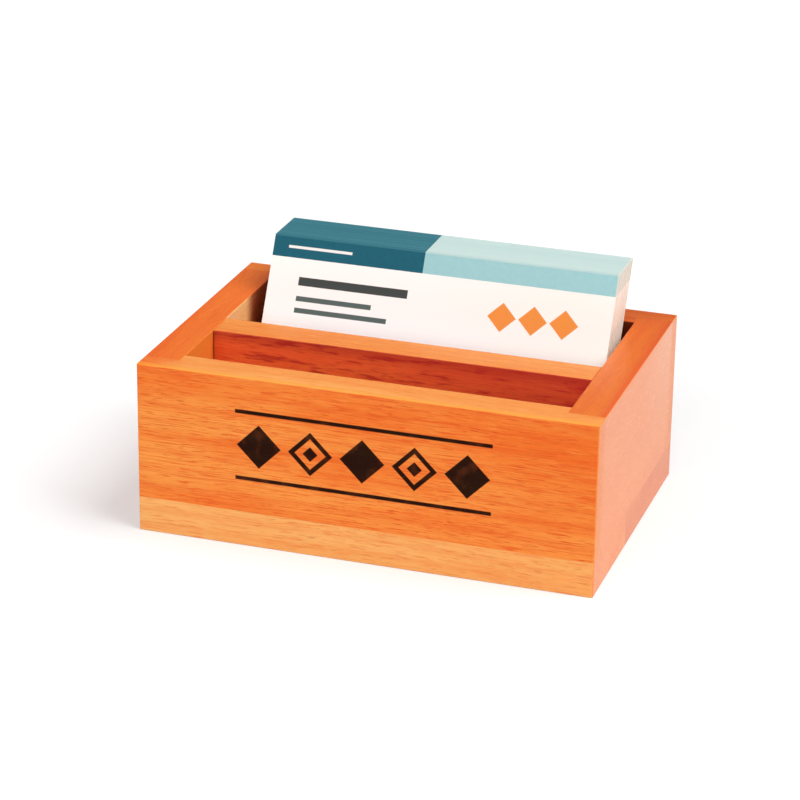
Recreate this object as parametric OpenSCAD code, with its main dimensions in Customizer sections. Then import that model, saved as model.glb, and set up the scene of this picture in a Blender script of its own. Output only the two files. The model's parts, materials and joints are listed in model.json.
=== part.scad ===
// Business card box: four timber walls with rebated corners, glued on an edge-glued base, a fixed divider
// that makes two pockets, and a pack of cards that leans back in the rear pocket.
// Frame: +X runs to the right along the front, +Y to the back and +Z up. The origin is on the table,
// under the middle of the box. Sizes are in millimetres.

/* [Box] */
// Depth of the box from front to back
box_d = 77.5; // [70:0.5:110]
// Height of the walls above the base
wall_h = 34.7; // [26:0.1:45]
// Thickness of the four wall boards
wall_t = 9; // [6:0.1:10.5]
// Thickness of the lip that is left where the front and back boards are rebated for the end boards
lip_t = 5.4; // [3:0.1:5.8]

/* [Base] */
// Thickness of the base
base_t = 9; // [5:0.1:14]
// Width of the base's front stave, from the front edge to the glue line
front_stave_w = 30.5; // [15:0.5:60]

/* [Divider] */
// Thickness of the divider
divider_t = 9; // [5:0.1:12]
// Clear depth of the pocket in front of the divider
front_pocket_d = 18.3; // [8:0.1:24]
// Gap left at the divider's left end so that it drops in between the end boards
divider_gap = 0.3; // [0.05:0.05:0.6]

/* [Edges] */
// Radius of the four upright outer corners
corner_r = 0.5; // [0.2:0.1:3]
// Radius of the round-over along the outer top edges
top_r = 0.4; // [0.2:0.1:1.5]
// Radius of the eased edges under the base
under_r = 0.4; // [0.2:0.1:1]
// Radius of the eased inner top edges of the walls and of the divider
inner_r = 0.3; // [0.1:0.1:1]

/* [Cards] */
// Width of a card
card_w = 90; // [80:0.5:105]
// Height of a card
card_h = 55; // [48:0.5:60]
// Thickness of a card
card_t = 0.29; // [0.2:0.01:0.4]
// Film of air between one card and the next
card_air = 0.02; // [0.01:0.01:0.05]
// Number of cards in the pack
card_count = 40; // [10:1:50]
// Gap between the pack and the divider, and between the pack and the back board
card_fit = 0.2; // [0.1:0.05:0.5]
// Gap between the lowest edge of each card and the base
card_foot_gap = 0.05; // [0.02:0.01:0.2]
// Room left between the pack and each end board
pack_side_gap = 3.25; // [1:0.05:10]
// Distance of the pack's middle to the right of the box's middle
card_shift = 0.5; // [-1:0.1:1]
// Furthest that a card strays from the others, sideways and upwards
card_stray = 0.1; // [0:0.05:0.5]

/* [Hidden] */
$fn = 64;
// A little more than a cut needs, so that it runs right through
over = 1;

timber = "#ee7a35";
pale_timber = "#f6a35c";
dark_timber = "#d8652b";
card_stock = "#fdf8f1";

inner_w = card_w + 2 * pack_side_gap;
inner_d = box_d - 2 * wall_t;
box_w = inner_w + 2 * wall_t;
box_h = base_t + wall_h;
front_inner_y = -inner_d / 2;
back_inner_y = inner_d / 2;
divider_front_y = front_inner_y + front_pocket_d;
divider_back_y = divider_front_y + divider_t;
rear_pocket_d = back_inner_y - divider_back_y;
stave_joint_y = -box_d / 2 + front_stave_w;

// The pack's foot stands against the divider and its back face lies against the eased top edge of the
// back board. Seen from the side, that is reach * cos(lean) - rise * sin(lean) = stack.
card_pitch = card_t + card_air;
pack_t = card_count * card_pitch - card_air;
lean_reach = rear_pocket_d + inner_r - card_fit;
lean_rise = wall_h - inner_r - card_foot_gap;
lean_stack = pack_t + inner_r + card_fit;
card_lean = acos(lean_stack / norm([lean_reach, lean_rise])) - atan2(lean_rise, lean_reach);
card_foot_z = base_t + card_foot_gap;
// Distance of the pack's back plane from the origin, along the cards' forward normal
pack_back = inner_r + card_fit - cos(card_lean) * (back_inner_y + inner_r)
          + sin(card_lean) * (box_h - inner_r);

// Place of card i along the base, counted from 1 at the front: the foot of its back face
function card_foot_y(i) =
    (sin(card_lean) * card_foot_z - pack_back - (card_count - i) * card_pitch) / cos(card_lean);
// Steady stray of card i, between -1 and 1 sideways and between 0 and 1 upwards, from a turn of the
// golden angle for each card
golden_angle = 137.508;
function stray_side(i) = sin(i * golden_angle);
function stray_up(i) = (1 + cos(i * golden_angle)) / 2;

function card_name(i) = str("card_", i < 10 ? "0" : "", i);
CARDS = [for (i = [1:card_count]) card_name(i)];

// What a round-over of radius r takes off a square corner at the origin, seen along the edge
module round_over_cut(r) {
    difference() {
        translate([-r, -r]) square(r + over);
        translate([-r, -r]) circle(r);
    }
}

// Outline of the finished box from one side: round upper edges, eased lower edges
module side_outline(width) {
    difference() {
        translate([-width / 2, 0]) square([width, box_h]);
        for (side = [0, 1]) mirror([side, 0]) {
            translate([width / 2, box_h]) round_over_cut(top_r);
            translate([width / 2, 0]) mirror([0, 1]) round_over_cut(under_r);
        }
    }
}

// Outline of the finished box from above, with its corners sanded round
module plan_outline() {
    difference() {
        square([box_w, box_d], center = true);
        for (x = [0, 1], y = [0, 1]) mirror([x, 0]) mirror([0, y])
            translate([box_w / 2, box_d / 2]) round_over_cut(corner_r);
    }
}

// The outside of the finished box after it has been glued up and sanded all round
module sanded_block() {
    intersection() {
        linear_extrude(box_h) plan_outline();
        rotate([90, 0, 0]) linear_extrude(box_d, center = true) side_outline(box_w);
        rotate([90, 0, 90]) linear_extrude(box_w, center = true) side_outline(box_d);
    }
}

// The front wall. It is as wide as the box, and a rebate across each end leaves a lip that covers the end
// of the end board.
module rebated_board() {
    intersection() {
        sanded_block();
        difference() {
            translate([-box_w / 2, -box_d / 2, base_t]) cube([box_w, wall_t, wall_h]);
            for (side = [0, 1]) mirror([side, 0, 0])
                translate([inner_w / 2, lip_t - box_d / 2, base_t - over])
                    cube([wall_t + over, wall_t, wall_h + 2 * over]);
            translate([0, front_inner_y, box_h]) rotate([90, 0, 90])
                linear_extrude(box_w, center = true) round_over_cut(inner_r);
        }
    }
}

// The right wall. It stands between the lips of the front and back boards, and its inner top edge is eased
// along the opening.
module end_board() {
    intersection() {
        sanded_block();
        difference() {
            translate([inner_w / 2, lip_t - box_d / 2, base_t])
                cube([wall_t, box_d - 2 * lip_t, wall_h]);
            translate([inner_w / 2, 0, box_h]) rotate([90, 0, 0])
                linear_extrude(inner_d, center = true) mirror([1, 0]) round_over_cut(inner_r);
        }
    }
}

module front_board() { color(timber) rebated_board(); }

module back_board() { color(timber) rotate([0, 0, 180]) rebated_board(); }

module left_end_board() { color(timber) rotate([0, 0, 180]) end_board(); }

module right_end_board() { color(timber) end_board(); }

// The divider is pushed up to the right end board, so that the gap is at its left end
module divider() {
    color(timber)
    translate([divider_gap / 2, divider_front_y + divider_t / 2, base_t]) rotate([90, 0, 90])
        linear_extrude(inner_w - divider_gap, center = true) difference() {
            translate([-divider_t / 2, 0]) square([divider_t, wall_h]);
            for (side = [0, 1]) mirror([side, 0])
                translate([divider_t / 2, wall_h]) round_over_cut(inner_r);
        }
}

// A stave of the base between two lines across the depth of the box
module base_stave(from_y, to_y) {
    intersection() {
        sanded_block();
        translate([-box_w / 2, from_y, 0]) cube([box_w, to_y - from_y, base_t]);
    }
}

module base_front_stave() { color(pale_timber) base_stave(-box_d / 2, stave_joint_y); }

module base_rear_stave() { color(dark_timber) base_stave(stave_joint_y, box_d / 2); }

// Card i of the pack, standing on its lower edge and leaning back
module card(i) {
    color(card_stock)
    translate([card_shift + card_stray * stray_side(i), card_foot_y(i), card_foot_z])
        rotate([-card_lean, 0, 0])
            translate([-card_w / 2, -card_t, card_stray * stray_up(i)])
                cube([card_w, card_t, card_h]);
}

front_board();
back_board();
left_end_board();
right_end_board();
divider();
base_front_stave();
base_rear_stave();
for (i = [1:card_count]) card(i);
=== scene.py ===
import json
import math

import bpy
from mathutils import Matrix, Vector


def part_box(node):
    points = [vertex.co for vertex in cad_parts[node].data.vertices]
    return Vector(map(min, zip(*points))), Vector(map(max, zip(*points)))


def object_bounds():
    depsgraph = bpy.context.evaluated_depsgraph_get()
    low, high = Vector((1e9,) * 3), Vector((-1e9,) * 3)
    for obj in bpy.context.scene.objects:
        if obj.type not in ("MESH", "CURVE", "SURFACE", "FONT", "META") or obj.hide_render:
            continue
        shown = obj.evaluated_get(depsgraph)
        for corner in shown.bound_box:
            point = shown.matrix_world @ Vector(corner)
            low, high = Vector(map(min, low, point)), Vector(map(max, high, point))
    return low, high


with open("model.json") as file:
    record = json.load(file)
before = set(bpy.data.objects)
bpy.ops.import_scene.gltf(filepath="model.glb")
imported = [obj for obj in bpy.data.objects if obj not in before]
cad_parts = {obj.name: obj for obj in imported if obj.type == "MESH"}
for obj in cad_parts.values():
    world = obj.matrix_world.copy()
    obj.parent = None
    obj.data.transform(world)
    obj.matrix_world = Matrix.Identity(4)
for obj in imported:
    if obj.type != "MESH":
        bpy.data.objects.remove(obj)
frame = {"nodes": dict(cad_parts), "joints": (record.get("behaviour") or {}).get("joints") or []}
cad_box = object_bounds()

nodes = frame["nodes"]

# Base staves
# Two staves of solid timber, edge-glued into one board that is as large as the box and is the floor of both
# pockets: a pale stave in front and a darker one behind it. Stained, sanded flush and lacquered.

MM = 0.001


def srgb(red, green, blue):
    """A colour written as it is seen, 0 to 255, as the linear values that a shader takes."""
    def linear(value):
        share = value / 255
        return share / 12.92 if share <= 0.04045 else ((share + 0.055) / 1.055) ** 2.4
    return (linear(red), linear(green), linear(blue), 1.0)


def tones(pale, deep, streak, pore):
    """The four colours of one stain: its pale and deep grounds, its dark streaks and its pores."""
    return {"Pale": srgb(*pale), "Deep": srgb(*deep), "Streak": srgb(*streak), "Pore": srgb(*pore)}


def feed(tree, socket, value):
    """Sets an input to a value, or links another node's output to it."""
    if isinstance(value, bpy.types.NodeSocket):
        tree.links.new(value, socket)
    else:
        socket.default_value = value


def add_node(tree, kind, inputs=None, **settings):
    """One shader node. Its inputs are named or numbered, and each is a value or another node's output."""
    made = tree.nodes.new("ShaderNode" + kind)
    for name, value in settings.items():
        setattr(made, name, value)
    for key, value in (inputs or {}).items():
        feed(tree, made.inputs[key], value)
    return made


def math_node(tree, operation, first, second=0.0, third=0.0):
    return add_node(tree, "Math", {0: first, 1: second, 2: third}, operation=operation).outputs[0]


def times(tree, first, second):
    """The product of two values. Of two masks it is the part that both pick out."""
    return math_node(tree, "MULTIPLY", first, second)


def total(tree, first, *others):
    """The sum of two or more values."""
    for value in others:
        first = math_node(tree, "ADD", first, value)
    return first


def opposite(tree, mask):
    """1 where a mask is 0, and 0 where it is 1."""
    return math_node(tree, "SUBTRACT", 1.0, mask)


def line(tree, value, slope, start=0.0):
    """A value on a straight line: slope times another value, plus a start."""
    return math_node(tree, "MULTIPLY_ADD", value, slope, start)


def between(tree, value, low, high):
    """0 below low, 1 above high and a smooth rise from one to the other."""
    return add_node(tree, "MapRange", {"Value": value, "From Min": low, "From Max": high},
                    interpolation_type="SMOOTHSTEP").outputs[0]


def vector_node(tree, operation, first, second):
    return add_node(tree, "VectorMath", {0: first, 1: second}, operation=operation).outputs[0]


def mix_colour(tree, factor, first, second, blend="MIX"):
    """Two colours mixed. A Mix node numbers its colour inputs 6 and 7 and its colour output 2."""
    return add_node(tree, "Mix", {0: factor, 6: first, 7: second}, data_type="RGBA", blend_type=blend,
                    clamp_factor=True).outputs[2]


def new_group(name, inputs, outputs):
    """An empty node group, with the sockets that it is given and the sockets that it fills."""
    group = bpy.data.node_groups.new(name, "ShaderNodeTree")
    for label, kind in inputs:
        group.interface.new_socket(label, in_out="INPUT", socket_type="NodeSocket" + kind)
    for label, kind in outputs:
        group.interface.new_socket(label, in_out="OUTPUT", socket_type="NodeSocket" + kind)
    return group, group.nodes.new("NodeGroupInput").outputs, group.nodes.new("NodeGroupOutput").inputs


def stretched_noise(tree, position, along, across, detail=2.0, rough=0.5, output=0):
    """Noise that is drawn out along the grain. along and across are in features per millimetre."""
    scaled = vector_node(tree, "MULTIPLY", position, (along, across, across))
    return add_node(tree, "TexNoise", {"Vector": scaled, "Scale": 1.0, "Detail": detail,
                                       "Roughness": rough}).outputs[output]


def build_timber_figure():
    """The grain of a stained board, with the heart of the log on the X axis and positions in millimetres.
    The grain wanders, and over its ground lie growth rings, flecks, streaks, fibres and pores."""
    group, given, filled = new_group(
        "timber_figure",
        (("Position", "Vector"), ("Pale", "Color"), ("Deep", "Color"), ("Streak", "Color"),
         ("Pore", "Color"), ("Tone Shift", "Float"), ("Ring Pitch", "Float"), ("Ring Strength", "Float"),
         ("Streak Strength", "Float"), ("Pore Strength", "Float")),
        (("Color", "Color"), ("Roughness", "Float"), ("Height", "Float")))
    wander_width = 3.5
    ring_sharpness = 3.0
    fleck_share = 0.4
    line_share = 0.8
    fibre_relief = 0.3

    position = given["Position"]
    wander = stretched_noise(group, position, along=0.016, across=0.06, output="Color")
    wander = vector_node(group, "SUBTRACT", wander, (0.5, 0.5, 0.5))
    wander = vector_node(group, "MULTIPLY", wander, (0.0, wander_width, wander_width))
    wandered = vector_node(group, "ADD", position, wander)

    tone = stretched_noise(group, wandered, along=0.013, across=0.11, detail=3.0, rough=0.55)
    tone = between(group, total(group, tone, given["Tone Shift"]), 0.30, 0.71)

    parts = add_node(group, "SeparateXYZ", {0: wandered}).outputs
    squares = [times(group, parts[axis], parts[axis]) for axis in ("Y", "Z")]
    from_heart = math_node(group, "SQRT", total(group, *squares))
    turns = math_node(group, "DIVIDE", from_heart, given["Ring Pitch"])
    wave = math_node(group, "SINE", times(group, turns, 2 * math.pi))
    rings = math_node(group, "POWER", line(group, wave, slope=0.5, start=0.5), ring_sharpness)

    fibre = stretched_noise(group, position, along=0.22, across=5.6, detail=3.0, rough=0.6)
    grit = stretched_noise(group, position, along=3.2, across=3.2, detail=1.0)
    flecks = between(group, stretched_noise(group, position, along=0.15, across=2.2), 0.52, 0.72)
    streaks = between(group, stretched_noise(group, wandered, along=0.17, across=2.7), 0.54, 0.68)
    long_lines = stretched_noise(group, wandered, along=0.045, across=4.2, detail=1.0)
    long_lines = between(group, long_lines, 0.54, 0.68)
    pores = between(group, stretched_noise(group, wandered, along=0.27, across=4.3, detail=1.0), 0.61, 0.72)
    crowd = between(group, stretched_noise(group, position, along=0.022, across=0.13), 0.36, 0.66)
    pores = times(group, pores, line(group, crowd, slope=0.75, start=0.25))

    colour = mix_colour(group, tone, given["Deep"], given["Pale"])
    colour = mix_colour(group, times(group, rings, given["Ring Strength"]), colour, given["Streak"])
    colour = mix_colour(group, times(group, flecks, fleck_share), colour, given["Pale"])
    marks = math_node(group, "MAXIMUM", streaks, times(group, long_lines, line_share))
    colour = mix_colour(group, times(group, marks, given["Streak Strength"]), colour, given["Streak"])
    fibre_shade = line(group, fibre, slope=0.18, start=0.90)
    shade = times(group, fibre_shade, line(group, grit, slope=0.12, start=0.94))
    colour = add_node(group, "VectorMath", {0: colour, "Scale": shade}, operation="SCALE").outputs[0]
    colour = mix_colour(group, times(group, pores, given["Pore Strength"]), colour, given["Pore"])

    feed(group, filled["Color"], colour)
    feed(group, filled["Roughness"], line(group, fibre, slope=0.03, start=0.255))
    feed(group, filled["Height"], math_node(group, "SUBTRACT", times(group, fibre, fibre_relief), pores))
    return group


timber_figure = build_timber_figure()


def timber_material(name, stain, along, place, ring_pitch, ring_strength=0.25, streak_strength=0.5,
                    pore_strength=0.6, gloss=0.3):
    """Stained and lacquered timber. along is the axis that the grain runs on, and place, in millimetres, is
    where in the log the board was cut."""
    relief = 0.2
    relief_depth = 0.04 * MM
    lacquer_ior = 1.5
    material = bpy.data.materials.new(name)
    material.use_nodes = True
    tree = material.node_tree
    grain_turn = {"X": 0.0, "Y": -math.pi / 2}[along]
    board = add_node(tree, "Mapping", {
        "Vector": add_node(tree, "TexCoord").outputs["Object"], "Location": place,
        "Rotation": (0.0, 0.0, grain_turn), "Scale": (1 / MM, 1 / MM, 1 / MM)})
    figure = add_node(tree, "Group", {
        **stain, "Position": board.outputs[0], "Ring Pitch": ring_pitch, "Ring Strength": ring_strength,
        "Streak Strength": streak_strength, "Pore Strength": pore_strength},
        node_tree=timber_figure, name="Figure").outputs
    bump = add_node(tree, "Bump", {"Height": figure["Height"], "Strength": relief,
                                   "Distance": relief_depth})
    shader = tree.nodes["Principled BSDF"]
    for label, value in (("Base Color", figure["Color"]), ("Roughness", figure["Roughness"]),
                         ("Normal", bump.outputs[0]), ("IOR", lacquer_ior), ("Specular IOR Level", gloss)):
        feed(tree, shader.inputs[label], value)
    return material


def place_mm(tree):
    """The three coordinates of a point of the box, in millimetres."""
    point = add_node(tree, "VectorMath", {0: add_node(tree, "TexCoord").outputs["Object"], "Scale": 1 / MM},
                     operation="SCALE")
    return add_node(tree, "SeparateXYZ", {0: point.outputs[0]}).outputs


def facing(tree, axis, sign=1):
    """1 on the faces that look along an axis, and 0 on the others. A sign of 0 takes both directions."""
    least = 0.6
    normal = add_node(tree, "NewGeometry").outputs["True Normal"]
    turned = add_node(tree, "SeparateXYZ", {0: normal}).outputs[axis]
    turned = times(tree, turned, sign) if sign else math_node(tree, "ABSOLUTE", turned)
    return math_node(tree, "GREATER_THAN", turned, least)


def shift_tone(material, shift):
    """Moves the ground of a board towards its pale tone above 0, and towards its deep tone below 0."""
    tree = material.node_tree
    feed(tree, tree.nodes["Figure"].inputs["Tone Shift"], shift)


def recolour(material, mask, stain):
    """Gives the part of a board that a mask picks out another stain on the same figure."""
    tree = material.node_tree
    for label, tone in stain.items():
        socket = tree.nodes["Figure"].inputs[label]
        under = socket.links[0].from_socket if socket.is_linked else tuple(socket.default_value)
        feed(tree, socket, mix_colour(tree, mask, under, tone))


def finish_node(name, material):
    """Gives a node of the box its finish in place of the plain one."""
    piece = nodes[name]
    piece.data.materials.clear()
    piece.data.materials.append(material)


pale_stave = timber_material(
    "pale_stave_timber", tones((253, 182, 102), (249, 155, 76), (240, 124, 50), (200, 80, 34)),
    along="X", place=(310, 70, 45), ring_pitch=3.1, streak_strength=0.6)
tree = pale_stave.node_tree
shift_tone(pale_stave, line(tree, place_mm(tree)["X"], slope=-0.0015, start=0.06))
recolour(pale_stave, facing(tree, "X", 0),
         tones((255, 154, 70), (251, 140, 60), (245, 122, 48), (212, 90, 36)))
finish_node("base_front_stave", pale_stave)

dark_stave = timber_material(
    "dark_stave_timber", tones((238, 122, 46), (224, 98, 32), (206, 76, 26), (146, 52, 20)),
    along="X", place=(90, -60, 52), ring_pitch=2.6)
tree = dark_stave.node_tree
recolour(dark_stave, facing(tree, "X", 0),
         tones((245, 136, 54), (238, 122, 44), (226, 102, 34), (176, 70, 26)))
finish_node("base_rear_stave", dark_stave)

# Front board
# One board on edge, glued to the base. A rebate across each end leaves a lip that covers the end board. The
# stain is uneven, the sanded top is paler, and a frieze of lozenges and two rules is burnt into the face.


def tint(material, mask, colour, share, blend="MIX"):
    """Lays a share of a second colour over the part of a board that a mask picks out."""
    tree = material.node_tree
    socket = tree.nodes["Principled BSDF"].inputs["Base Color"]
    under = socket.links[0].from_socket
    feed(tree, socket, mix_colour(tree, times(tree, mask, share), under, colour, blend))


def inside(tree, reach, limit, soft):
    """1 where a reach is below a limit, with an edge as soft as soft to either side."""
    return opposite(tree, between(tree, reach, limit - soft, limit + soft))


def lozenge_reach(tree, across, up, half):
    """How far a point is from the middle of a lozenge, 1 at its edge."""
    reach = total(tree, math_node(tree, "ABSOLUTE", across), math_node(tree, "ABSOLUTE", up))
    return math_node(tree, "DIVIDE", reach, half)


box_low, box_high = (Vector(corner) / MM for corner in cad_box)
front_timber = timber_material(
    "front_board_timber", tones((253, 159, 72), (245, 116, 38), (232, 86, 26), (204, 62, 18)),
    along="X", place=(0, 88, 40), ring_pitch=3.4, streak_strength=0.7, pore_strength=0.65, gloss=0.12)
tree = front_timber.node_tree
spot = place_mm(tree)

# Stain: redder to the right, paler below, deeper along the top, and pale low down except at the left end
redder_from = 9.0
redder_full = 26.0
above_from = 28.0
above_full = 40.0
low_full = 12.0
low_end = 22.0
left_end = -40.0
left_end_past = -15.0
redder_right = times(tree, line(tree, spot["X"], slope=-0.0024),
                     between(tree, spot["Z"], redder_from, redder_full))
paler_below = line(tree, spot["Z"], slope=-0.002, start=0.06)
deeper_above = times(tree, between(tree, spot["Z"], above_from, above_full),
                     line(tree, spot["X"], slope=0.001, start=-0.055))
past_left_end = line(tree, between(tree, spot["X"], left_end, left_end_past), slope=0.19, start=-0.08)
paler_low = times(tree, past_left_end, opposite(tree, between(tree, spot["Z"], low_full, low_end)))
shift_tone(front_timber, total(tree, redder_right, paler_below, paler_low, deeper_above))

# Sanded top, which starts to pale beside the left corner, with a painted golden highlight along its front
# edge
pale_from = box_low.x + 1.25
pale_width = 12.0
highlight_width = 1.5
highlight_soft = 0.5
front_top = facing(tree, "Z")
paler_top = times(tree, front_top, between(tree, spot["X"], pale_from, pale_from + pale_width))
recolour(front_timber, paler_top, tones((253, 176, 96), (249, 158, 78), (243, 130, 50), (226, 108, 40)))
# Painted highlight: a golden band along the rounded front edge of the top
highlight_edge = inside(tree, spot["Y"], box_low.y + highlight_width, highlight_soft)
tint(front_timber, times(tree, front_top, highlight_edge), srgb(250, 164, 58), share=0.5)
recolour(front_timber, facing(tree, "X"),
         tones((255, 160, 78), (252, 146, 66), (246, 128, 54), (210, 90, 38)))

# Frieze: every second lozenge is an open ring around a small core
frieze_middle = 26.4
lozenge_count = 5
lozenge_pitch = 13.0
lozenge_half = 5.6
lozenge_soft = 0.03
ring_hole = 0.70
core_size = 0.34
rule_rise = 8.6
rule_half_length = 32.0
rule_half_width = 0.5
rule_soft = 0.12
up = math_node(tree, "SUBTRACT", spot["Z"], frieze_middle)
cell = math_node(tree, "ROUND", math_node(tree, "DIVIDE", spot["X"], lozenge_pitch))
across = math_node(tree, "SUBTRACT", spot["X"], times(tree, cell, lozenge_pitch))
reach = lozenge_reach(tree, across, up, lozenge_half)
is_open = math_node(tree, "PINGPONG", cell, 1.0)
hole = times(tree, is_open, inside(tree, reach, ring_hole, lozenge_soft))
ring = times(tree, inside(tree, reach, 1.0, lozenge_soft), opposite(tree, hole))
core = times(tree, is_open, inside(tree, reach, core_size, lozenge_soft))
in_row = math_node(tree, "LESS_THAN", math_node(tree, "ABSOLUTE", cell), lozenge_count / 2)
lozenges = times(tree, in_row, math_node(tree, "MAXIMUM", ring, core))
from_rule = math_node(tree, "SUBTRACT", math_node(tree, "ABSOLUTE", up), rule_rise)
rules = times(tree, inside(tree, math_node(tree, "ABSOLUTE", from_rule), rule_half_width, rule_soft),
              inside(tree, math_node(tree, "ABSOLUTE", spot["X"]), rule_half_length, rule_soft))
burnt = times(tree, facing(tree, "Y", -1), math_node(tree, "MAXIMUM", lozenges, rules))

# Burn: dark char with brown spots, dull and a little sunk
char_spots_per_metre = 260.0
brown_from = 0.48
brown_full = 0.72
char_share = 0.98
char_dullness = 0.8
char_depth = 4.0
char = add_node(tree, "TexNoise", {"Vector": add_node(tree, "TexCoord").outputs["Object"],
                                   "Scale": char_spots_per_metre, "Detail": 3.0}).outputs[0]
char = mix_colour(tree, between(tree, char, brown_from, brown_full), srgb(10, 4, 3), srgb(64, 28, 12))
tint(front_timber, burnt, char, char_share)
figure = tree.nodes["Figure"].outputs
dulled = line(tree, burnt, slope=char_dullness, start=figure["Roughness"])
feed(tree, tree.nodes["Principled BSDF"].inputs["Roughness"], dulled)
sunk = math_node(tree, "SUBTRACT", figure["Height"], times(tree, burnt, char_depth))
feed(tree, tree.nodes["Bump"].inputs["Height"], sunk)
finish_node("front_board", front_timber)

# Back board
# The same rebated board as the front, turned round and glued to the rear stave. Its sanded top grows darker
# to the right, and its inner face behind the cards is painted very dark as painted shade.

dark_from = -40.0
dark_full = 40.0
back_timber = timber_material(
    "back_board_timber", tones((230, 122, 52), (220, 104, 40), (202, 82, 30), (150, 56, 22)),
    along="X", place=(700, -95, 30), ring_pitch=3.0, gloss=0.15)
tree = back_timber.node_tree
back_top = facing(tree, "Z")
darker_right = times(tree, back_top, between(tree, place_mm(tree)["X"], dark_from, dark_full))
recolour(back_timber, back_top, tones((248, 142, 58), (240, 124, 44), (226, 100, 34), (170, 66, 24)))
recolour(back_timber, darker_right, tones((222, 109, 37), (211, 93, 29), (192, 74, 24), (138, 50, 19)))
# Painted shade: the inner face is darkened as if no light reaches it behind the cards
tint(back_timber, facing(tree, "Y", -1), srgb(90, 34, 30), share=0.9, blend="MULTIPLY")
recolour(back_timber, facing(tree, "X"),
         tones((253, 158, 92), (250, 147, 82), (244, 128, 66), (206, 94, 46)))
finish_node("back_board", back_timber)

# End boards
# Two boards on edge between the lips of the front and back boards, glued to these and to the base, with the
# grain from front to back. Inside, painted light makes them paler in the front pocket and paler still in the
# rear pocket, and painted shadow darkens them beside the cards.

left_timber = timber_material(
    "left_board_timber", tones((245, 123, 42), (238, 107, 31), (228, 90, 24), (176, 64, 22)),
    along="Y", place=(500, 75, 20), ring_pitch=3.6, ring_strength=0.2, streak_strength=0.35,
    pore_strength=0.35, gloss=0.12)
right_timber = timber_material(
    "right_board_timber", tones((245, 126, 46), (238, 108, 34), (226, 88, 24), (170, 60, 22)),
    along="Y", place=(900, -82, 15), ring_pitch=3.8, ring_strength=0.2, streak_strength=0.35,
    pore_strength=0.35, gloss=0.4)

rear_pocket_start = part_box("divider")[1].y / MM
gap_dark_from = 11.0
gap_dark_full = 17.0
edge_width = 1.6
edge_soft = 0.5
edge_start = box_high.x - edge_width
for timber, inward, edge_share in ((left_timber, 1, 0.3), (right_timber, -1, 0.7)):
    tree = timber.node_tree
    spot = place_mm(tree)
    inner = facing(tree, "X", inward)
    in_rear = times(tree, inner, math_node(tree, "GREATER_THAN", spot["Y"], rear_pocket_start))
    in_front = math_node(tree, "SUBTRACT", inner, in_rear)
    # Painted light: the inner faces are painted paler in the front pocket, and paler still in the rear
    # pocket in front of the cards
    tint(timber, in_front, srgb(255, 156, 66), share=0.75)
    recolour(timber, in_rear, tones((255, 208, 140), (255, 188, 118), (248, 156, 88), (220, 100, 46)))
    # Painted shadow: the inner faces are darkened beside the cards, where the pack keeps the light out
    gap_shadow = times(tree, inner, between(tree, spot["Y"], gap_dark_from, gap_dark_full))
    tint(timber, gap_shadow, srgb(150, 60, 40), share=0.85, blend="MULTIPLY")
    outer_edge = between(tree, math_node(tree, "ABSOLUTE", spot["X"]), edge_start, edge_start + edge_soft)
    tint(timber, times(tree, outer_edge, facing(tree, "Z")), srgb(234, 88, 26), edge_share)

# Right board: its smooth outer face carries a painted sheen that grows to its far upper corner, and its top
# darkens to the back
back_from = 0.0
back_full = 38.0
rim_from = 10.0
rim_full = 42.0
tree = right_timber.node_tree
spot = place_mm(tree)
right_top = facing(tree, "Z")
right_face = facing(tree, "X")
recolour(right_timber, right_top, tones((245, 124, 22), (238, 107, 14), (226, 87, 10), (170, 60, 14)))
recolour(right_timber, right_face, tones((255, 150, 60), (252, 136, 50), (246, 120, 42), (218, 94, 36)))
tint(right_timber, right_face, srgb(253, 140, 54), share=0.35)
to_back = between(tree, spot["Y"], back_from, back_full)
tint(right_timber, times(tree, right_top, to_back), srgb(208, 80, 8), share=0.55)
# Painted sheen: the outer face is lightened and pinkened towards its far upper corner
sheen_to_corner = times(tree, to_back, between(tree, spot["Z"], rim_from, rim_full))
tint(right_timber, times(tree, right_face, sheen_to_corner), srgb(255, 196, 156), share=0.36)
finish_node("left_end_board", left_timber)
finish_node("right_end_board", right_timber)

# Divider
# One board on edge between the end boards, its top level with theirs, pushed up to the right one and glued.
# Its faces took the stain darker and redder than its sanded top, and carry painted shade below the top edge;
# they grow darker and more crimson to the right.

edge_dark_from = 4.0
edge_dark_full = 0.4
crimson_from = -45.0
crimson_full = 50.0
divider_timber = timber_material(
    "divider_timber", tones((246, 122, 60), (236, 102, 52), (212, 68, 40), (150, 40, 28)),
    along="X", place=(1300, 80, -50), ring_pitch=3.2, pore_strength=0.3, gloss=0.22)
tree = divider_timber.node_tree
spot = place_mm(tree)
divider_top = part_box("divider")[1].z / MM
divider_face = facing(tree, "Y", 0)
recolour(divider_timber, facing(tree, "Z"),
         tones((250, 159, 74), (246, 141, 57), (238, 114, 38), (214, 90, 30)))
in_log = tree.nodes["Mapping"].outputs[0]
blotches = stretched_noise(tree, in_log, along=0.11, across=0.75, detail=3.0, rough=0.6)
blotches = between(tree, blotches, 0.50, 0.66)
tint(divider_timber, times(tree, divider_face, blotches), srgb(160, 28, 36), share=0.66)
# Painted shade: the face darkens to crimson just under its top edge
shade_under_edge = between(tree, spot["Z"], divider_top - edge_dark_from, divider_top - edge_dark_full)
tint(divider_timber, times(tree, divider_face, shade_under_edge), srgb(150, 26, 32), share=0.45)
# The face grows darker and more crimson towards the right
to_right = between(tree, spot["X"], crimson_from, crimson_full)
tint(divider_timber, times(tree, divider_face, to_right), srgb(200, 26, 42), share=0.45)
finish_node("divider", divider_timber)

# Cards
# A pack of business cards of smooth white board, cut square and printed with a two-colour band across the
# head, grey bars and three orange lozenges. They stand on the base, lean back and are lifted out by hand.

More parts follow.
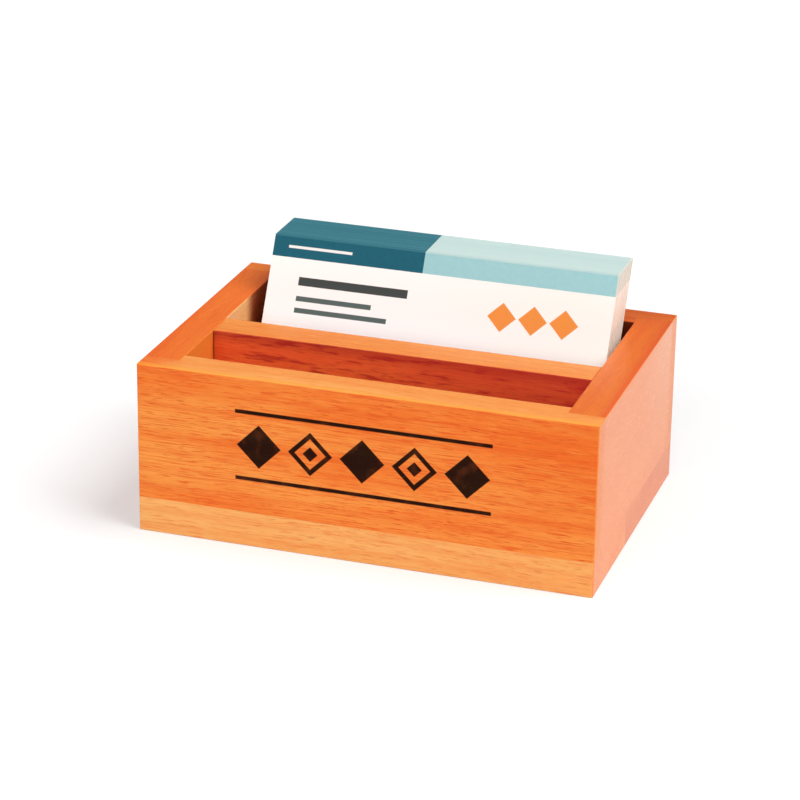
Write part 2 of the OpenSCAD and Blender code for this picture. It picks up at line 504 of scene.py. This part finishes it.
card_nodes = sorted(name for name in nodes if name.startswith("card_"))
lift_axis = Vector(next(joint for joint in frame["joints"] if joint["child"] == "front_card")["axis"])
face_normal = Vector((0, -lift_axis.z, lift_axis.y))


def face_depth(name):
    """How far forward the printed face of a card lies, in millimetres."""
    return max(face_normal.dot(corner.co) for corner in nodes[name].data.vertices) / MM


front_depth = face_depth(card_nodes[0])
card_pitch = front_depth - face_depth(card_nodes[1])
face_slack = 0.1 * card_pitch
face_corners = [corner.co / MM for corner in nodes[card_nodes[0]].data.vertices
                if face_normal.dot(corner.co) / MM > front_depth - face_slack]
card_foot = min(corner.z for corner in face_corners)
card_head = (max(corner.z for corner in face_corners) - card_foot) / lift_axis.z
card_middle = sum(corner.x for corner in face_corners) / len(face_corners)
card_half_width = max(corner.x for corner in face_corners) - card_middle

card_print = bpy.data.materials.new("printed_card")
card_print.use_nodes = True
tree = card_print.node_tree
point = add_node(tree, "TexCoord").outputs["Object"]


def dot_product(first, second):
    """The dot product of a node's vector and a fixed one."""
    made = add_node(tree, "VectorMath", {0: first, 1: tuple(second)}, operation="DOT_PRODUCT")
    return made.outputs["Value"]


def distance_along(direction, start):
    """How far a point of the pack lies along a direction from a start, in millimetres."""
    return line(tree, dot_product(point, direction), slope=1 / MM, start=-start)


def patch(left, right, low, high):
    """1 inside an upright rectangle on the face of a card, measured from its middle and its foot."""
    soft = 0.07
    spans = [math_node(tree, "SUBTRACT", between(tree, value, start - soft, start + soft),
                       between(tree, value, end - soft, end + soft))
             for value, start, end in ((card_across, left, right), (card_up, low, high))]
    return times(tree, *spans)


face_limit = 0.5
mottle_per_metre = 900.0
card_across = distance_along((1, 0, 0), card_middle)
card_up = math_node(tree, "DIVIDE", distance_along((0, 0, 1), card_foot), lift_axis.z)
card_depth = distance_along(-face_normal, -front_depth)
turned = dot_product(add_node(tree, "NewGeometry").outputs["True Normal"], face_normal)
is_face = math_node(tree, "GREATER_THAN", turned, face_limit)
is_edge = math_node(tree, "LESS_THAN", math_node(tree, "ABSOLUTE", turned), face_limit)
card_number = math_node(tree, "FLOOR", math_node(tree, "DIVIDE", card_depth, card_pitch))
card_tone = add_node(tree, "TexWhiteNoise", {"W": card_number}, noise_dimensions="1D").outputs[0]
mottle = add_node(tree, "TexNoise", {"Vector": point, "Scale": mottle_per_metre, "Detail": 2.0}).outputs[0]

# Paper: creamier to the right and where it stands out of the box, and below that painted a bluer white
# against the warm light bounced from the wood; the cut edges differ from card to card and are painted warm
# low down as painted bounce light
cream_from = -10.0
cream_full = 35.0
rim_blend_from = 30.0
rim_blend_full = 44.0
warm_full = 34.0
warm_end = 50.0
mottle_share = 0.25
to_right = between(tree, card_across, cream_from, cream_full)
paper_below_rim = mix_colour(tree, to_right, srgb(247, 255, 255), srgb(251, 255, 249))
paper_above_rim = mix_colour(tree, to_right, srgb(253, 249, 244), srgb(254, 244, 236))
# Painted light: a bluer white low down cancels the warm light bounced there from the wood
paper = mix_colour(tree, between(tree, card_up, rim_blend_from, rim_blend_full), paper_below_rim, paper_above_rim)
paper = mix_colour(tree, times(tree, mottle, mottle_share), paper, srgb(255, 254, 252))
cut_edge = mix_colour(tree, card_tone, srgb(254, 230, 210), srgb(255, 248, 238))
# Painted bounce light: the cut edges are warmer low down, near the wood
bounce_below = opposite(tree, between(tree, card_up, warm_full, warm_end))
cut_edge = mix_colour(tree, bounce_below, cut_edge, srgb(255, 218, 188))

# Band across the head: teal on the left, pale blue on the right, worn at the edges, with a short white rule
band_height = 5.5
band_split = -5.0
worn_head_from = 0.40
worn_head_full = 0.15
worn_side_from = 0.30
worn_side_full = 0.10
worn_side_share = 0.6
band_rule_share = 0.9
is_right = math_node(tree, "GREATER_THAN", card_across, band_split)
teal = mix_colour(tree, mottle, srgb(18, 88, 106), srgb(26, 98, 116))
blue = mix_colour(tree, mottle, srgb(150, 199, 203), srgb(164, 208, 211))
ink = mix_colour(tree, is_right, teal, blue)
worn_ink = mix_colour(tree, is_right, srgb(62, 121, 134), srgb(194, 212, 210))
worn_head = between(tree, card_up, card_head - worn_head_from, card_head - worn_head_full)
worn_head = times(tree, worn_head, line(tree, card_tone, slope=0.6, start=0.5))
ink = mix_colour(tree, worn_head, ink, worn_ink)
worn_side = between(tree, math_node(tree, "ABSOLUTE", card_across),
                    card_half_width - worn_side_from, card_half_width - worn_side_full)
worn_side = times(tree, times(tree, worn_side, is_right), worn_side_share)
ink = mix_colour(tree, worn_side, ink, srgb(246, 234, 220))
band_rule = patch(left=-41.0, right=-24.0, low=card_head - 3.1, high=card_head - 2.4)
ink = mix_colour(tree, times(tree, band_rule, band_rule_share), ink, paper)

# Face: three bars that start at one margin, and a row of lozenges. Each bar is given by its right end, its
# lower and upper edges and its ink.
print_share = 0.95
margin = -37.0
bars = ((-8.0, 42.6, 44.8, srgb(14, 34, 31)),
        (-17.0, 38.6, 39.9, srgb(64, 84, 80)),
        (-12.5, 35.6, 36.9, srgb(64, 84, 80)))
mark_centres = (17.0, 25.0, 33.0)
mark_up = 41.0
mark_half = 3.7
face = paper
for bar_end, bar_low, bar_high, bar_ink in bars:
    bar = patch(margin, bar_end, bar_low, bar_high)
    face = mix_colour(tree, times(tree, bar, print_share), face, bar_ink)
for centre in mark_centres:
    reach = lozenge_reach(tree, math_node(tree, "SUBTRACT", card_across, centre),
                          math_node(tree, "SUBTRACT", card_up, mark_up), mark_half)
    mark = inside(tree, reach, 1.0, lozenge_soft)
    face = mix_colour(tree, times(tree, mark, print_share), face, srgb(240, 138, 24))
in_band = math_node(tree, "GREATER_THAN", card_up, card_head - band_height)
face = mix_colour(tree, in_band, face, ink)

card_roughness = 0.6
card_gloss = 0.15
card_colour = mix_colour(tree, is_edge, mix_colour(tree, is_face, paper, face), cut_edge)
card_shader = tree.nodes["Principled BSDF"]
for label, value in (("Base Color", card_colour), ("Roughness", card_roughness),
                     ("Specular IOR Level", card_gloss)):
    feed(tree, card_shader.inputs[label], value)
for name in card_nodes:
    finish_node(name, card_print)

# Floor and light
# A white sheet under the box and plain soft light: even light from all round, a large soft lamp above on the
# right and a weaker one low in front. The sheet keeps the box's shadow and glows to white further out.

floor_size = 8.0
floor_grey = 0.7
glow_near = 0.34
glow_gain = 0.46
glow_from = 0.2
glow_full = 1.2
bpy.ops.object.select_all(action="DESELECT")
bpy.ops.mesh.primitive_plane_add(size=floor_size, location=(0, 0, 0))
floor = bpy.context.object
floor.name = "floor"
floor_paper = bpy.data.materials.new("floor_paper")
floor_paper.use_nodes = True
tree = floor_paper.node_tree
tree.nodes.clear()
rays = add_node(tree, "LightPath").outputs
seen = math_node(tree, "MAXIMUM", rays["Is Camera Ray"],
                 math_node(tree, "MAXIMUM", rays["Is Glossy Ray"], rays["Is Transmission Ray"]))
from_box = add_node(tree, "VectorMath", {0: add_node(tree, "TexCoord").outputs["Object"]},
                    operation="LENGTH").outputs["Value"]
glow = line(tree, between(tree, from_box, glow_from, glow_full), slope=glow_gain, start=glow_near)
matt = add_node(tree, "BsdfDiffuse", {"Color": (floor_grey, floor_grey, floor_grey, 1)})
shine = add_node(tree, "Emission", {"Color": (1, 1, 1, 1), "Strength": times(tree, seen, glow)})
sheet = add_node(tree, "AddShader", {0: matt.outputs[0], 1: shine.outputs[0]})
add_node(tree, "OutputMaterial", {"Surface": sheet.outputs[0]})
floor.data.materials.append(floor_paper)

sky_strength = 0.25
world = bpy.data.worlds.new("studio")
bpy.context.scene.world = world
world.use_nodes = True
sky = world.node_tree.nodes["Background"].inputs
sky["Color"].default_value = (1, 1, 1, 1)
sky["Strength"].default_value = sky_strength


def add_lamp(name, place, width, height, power):
    """A soft lamp that looks at the middle of the box. Sizes are in metres and power in watts."""
    aim = Vector((0, 0, 0.02))
    lamp = bpy.data.lights.new(name, "AREA")
    lamp.shape = "RECTANGLE"
    lamp.size = width
    lamp.size_y = height
    lamp.energy = power
    holder = bpy.data.objects.new(name, lamp)
    holder.location = place
    holder.rotation_euler = (aim - Vector(place)).to_track_quat("-Z", "Y").to_euler()
    bpy.context.scene.collection.objects.link(holder)


add_lamp("key_lamp", place=(1.6, -0.14, 2.57), width=2.0, height=2.0, power=74.0)
add_lamp("front_lamp", place=(-0.42, -2.4, 1.4), width=2.4, height=1.8, power=41.0)

# Camera
# A long lens at the place that the photograph was taken from, found by matching the corners of the box. The
# angles are those around the box, and the focal length is in pixels of the photograph.

view_azimuth = math.radians(17.797)
view_elevation = math.radians(22.142)
view_roll = math.radians(0.858)
view_distance = 741.97 * MM
view_target = Vector((-3.217 * MM, 0, 26.939 * MM))
focal_pixels = 2995.3
image_pixels = 800
sensor_width = 36

to_camera = Vector((math.sin(view_azimuth) * math.cos(view_elevation),
                    -math.cos(view_azimuth) * math.cos(view_elevation), math.sin(view_elevation)))
level_right = Vector((math.cos(view_azimuth), math.sin(view_azimuth), 0))
level_up = to_camera.cross(level_right)
camera_right = level_right * math.cos(view_roll) + level_up * math.sin(view_roll)
camera_up = level_up * math.cos(view_roll) - level_right * math.sin(view_roll)
camera_data = bpy.data.cameras.new("camera")
camera_data.sensor_width = sensor_width
camera_data.lens = focal_pixels / image_pixels * sensor_width
camera = bpy.data.objects.new("camera", camera_data)
bpy.context.scene.collection.objects.link(camera)
camera.matrix_world = (Matrix.Translation(view_target + to_camera * view_distance)
                       @ Matrix((camera_right, camera_up, to_camera)).transposed().to_4x4())
bpy.context.scene.camera = camera

bpy.context.scene.view_settings.view_transform = "Standard"
